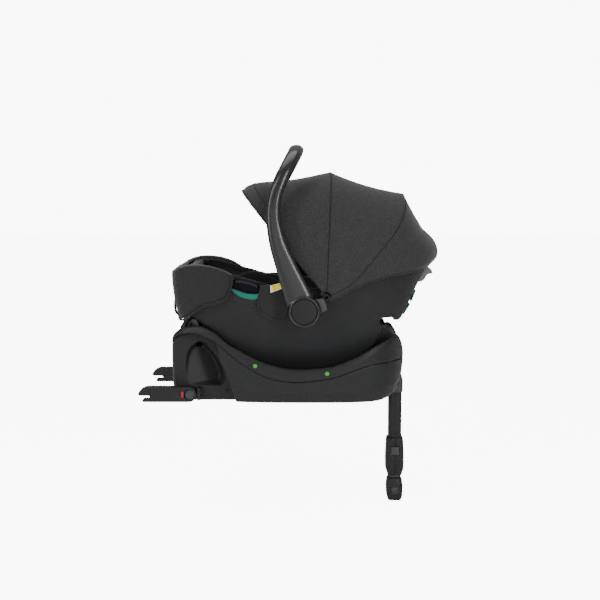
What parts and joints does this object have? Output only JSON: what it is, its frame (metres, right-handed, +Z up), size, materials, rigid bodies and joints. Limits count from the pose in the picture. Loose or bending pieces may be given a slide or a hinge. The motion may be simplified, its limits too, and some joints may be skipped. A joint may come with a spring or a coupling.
{
  "type": "infant car seat",
  "caption": "Rearward-facing infant carrier with folding canopy and swinging handle, docked on an anchor-arm base with a telescopic load leg.",
  "frame": {"origin": "on the base's flat underside, on the centre line, below the pivot of the anchor arms", "axes": "+X towards the infant's head end, +Y across the seat, +Z up; symmetric about the plane Y = 0"},
  "size_m": [0.7272, 0.4444, 0.8912],
  "materials": {
    "black_plastic": "satin",
    "grey_plastic": "satin",
    "black_fabric": "woven",
    "canopy_fabric": "heathered weave",
    "webbing": "woven webbing",
    "green_plastic": "satin",
    "light_green_plastic": "satin",
    "navy_plastic": "satin",
    "red_plastic": "satin",
    "steel": "polished",
    "dark_steel": "satin",
    "rubber": "matte",
    "foam": "moulded foam"
  },
  "bodies": {
    "base": {"base_lower_housing": "black_plastic", "base_upper_cover": "black_plastic", "frame_rail_left": "dark_steel", "frame_rail_right": "dark_steel", "isofix_cross_tube": "steel", "docking_bar_rear": "steel", "docking_bar_front": "steel", "leg_pivot_pin": "steel", "indicator_rear_left": "light_green_plastic", "indicator_rear_right": "light_green_plastic", "indicator_front_left": "light_green_plastic", "indicator_front_right": "light_green_plastic"},
    "isofix_left": {"isofix_arm_left": "black_plastic", "isofix_jaw_left": "steel"},
    "isofix_right": {"isofix_arm_right": "black_plastic", "isofix_jaw_right": "steel"},
    "isofix_release_left": {"isofix_button_left": "grey_plastic"},
    "isofix_release_right": {"isofix_button_right": "grey_plastic"},
    "load_leg": {"leg_outer_tube": "black_plastic", "leg_top_bracket": "grey_plastic", "leg_clamp_rear_half": "black_plastic", "leg_clamp_front_half": "black_plastic"},
    "leg_release_left": {"leg_button_left": "grey_plastic"},
    "leg_release_right": {"leg_button_right": "grey_plastic"},
    "leg_extension": {"leg_inner_tube": "dark_steel", "leg_foot": "black_plastic", "foot_sole": "rubber"},
    "carrier": {"seat_shell": "black_plastic", "foam_liner": "foam", "seat_pad": "black_fabric", "cover_foot_wrap": "black_fabric", "cover_flap_left": "black_fabric", "cover_flap_right": "black_fabric", "lap_belt_guide_left": "green_plastic", "lap_belt_guide_right": "green_plastic", "belt_slot_insert_left": "navy_plastic", "belt_slot_insert_right": "navy_plastic", "shoulder_belt_guide_lower": "green_plastic", "shoulder_belt_guide_upper": "green_plastic", "shoulder_strap_left": "webbing", "shoulder_strap_right": "webbing", "crotch_strap": "webbing", "buckle": "black_plastic", "adjuster_strap": "webbing", "canopy_rear_bow": "black_plastic", "canopy_rear_panel": "canopy_fabric", "canopy_rear_hem": "canopy_fabric"},
    "harness_release": {"buckle_button": "red_plastic"},
    "head_pad": {"headrest": "black_fabric"},
    "docking_release": {"release_handle": "grey_plastic"},
    "handle": {"carry_handle": "black_plastic", "handle_hub_cover_left": "black_plastic", "handle_hub_cover_right": "black_plastic"},
    "handle_release_left": {"handle_button_left": "grey_plastic"},
    "handle_release_right": {"handle_button_right": "grey_plastic"},
    "canopy_middle": {"canopy_middle_bow": "black_plastic", "canopy_middle_panel": "canopy_fabric"},
    "canopy_front": {"canopy_front_bow": "black_plastic", "canopy_front_panel": "canopy_fabric"}
  },
  "joints": [
    {"name": "isofix_left_fold", "type": "hinge", "parent": "base", "child": "isofix_left", "pos_m": [0, -0.1415, 0.0185], "axis": [0, 1, 0], "range_deg": [0, 90]},
    {"name": "isofix_right_fold", "type": "hinge", "parent": "base", "child": "isofix_right", "pos_m": [0, 0.1415, 0.0185], "axis": [0, 1, 0], "range_deg": [0, 90]},
    {"name": "isofix_left_press", "type": "slide", "parent": "isofix_left", "child": "isofix_release_left", "axis": [0, 1, 0], "range_m": [0, 0.002], "stiffness_N_per_m": 400},
    {"name": "isofix_right_press", "type": "slide", "parent": "isofix_right", "child": "isofix_release_right", "axis": [0, -1, 0], "range_m": [0, 0.002], "stiffness_N_per_m": 400},
    {"name": "load_leg_fold", "type": "hinge", "parent": "base", "child": "load_leg", "pos_m": [0.502, 0, 0.029], "axis": [0, 1, 0], "range_deg": [0, 90]},
    {"name": "leg_left_press", "type": "slide", "parent": "load_leg", "child": "leg_release_left", "axis": [0, 1, 0], "range_m": [0, 0.0013], "stiffness_N_per_m": 400},
    {"name": "leg_right_press", "type": "slide", "parent": "load_leg", "child": "leg_release_right", "axis": [0, -1, 0], "range_m": [0, 0.0013], "stiffness_N_per_m": 400},
    {"name": "leg_extend", "type": "slide", "parent": "load_leg", "child": "leg_extension", "axis": [0, 0, -1], "range_m": [0, 0.12]},
    {"name": "carrier_lift", "type": "slide", "parent": "base", "child": "carrier", "axis": [0, 0, 1], "range_m": [0, 0.26]},
    {"name": "harness_press", "type": "slide", "parent": "carrier", "child": "harness_release", "axis": [0, 0, -1], "range_m": [0, 0.002], "stiffness_N_per_m": 400},
    {"name": "head_pad_slide", "type": "slide", "parent": "carrier", "child": "head_pad", "axis": [0.7466, 0, 0.6653], "range_m": [0, 0.03]},
    {"name": "docking_release_pull", "type": "slide", "parent": "carrier", "child": "docking_release", "axis": [0.4418, 0, 0.8971], "range_m": [0, 0.006], "stiffness_N_per_m": 900},
    {"name": "handle_swing", "type": "hinge", "parent": "carrier", "child": "handle", "pos_m": [0.276, 0, 0.225], "axis": [0, 1, 0], "range_deg": [-95, 95]},
    {"name": "handle_left_press", "type": "slide", "parent": "handle", "child": "handle_release_left", "axis": [0, 1, 0], "range_m": [0, 0.003], "stiffness_N_per_m": 400},
    {"name": "handle_right_press", "type": "slide", "parent": "handle", "child": "handle_release_right", "axis": [0, -1, 0], "range_m": [0, 0.003], "stiffness_N_per_m": 400},
    {"name": "canopy_middle_swing", "type": "hinge", "parent": "carrier", "child": "canopy_middle", "pos_m": [0.328, 0, 0.256], "axis": [0, 1, 0], "range_deg": [0, 27], "deforming": ["canopy_middle_panel"]},
    {"name": "canopy_front_swing", "type": "hinge", "parent": "canopy_middle", "child": "canopy_front", "pos_m": [0.328, 0, 0.256], "axis": [0, 1, 0], "range_deg": [0, 32], "deforming": ["canopy_front_panel"]}
  ]
}
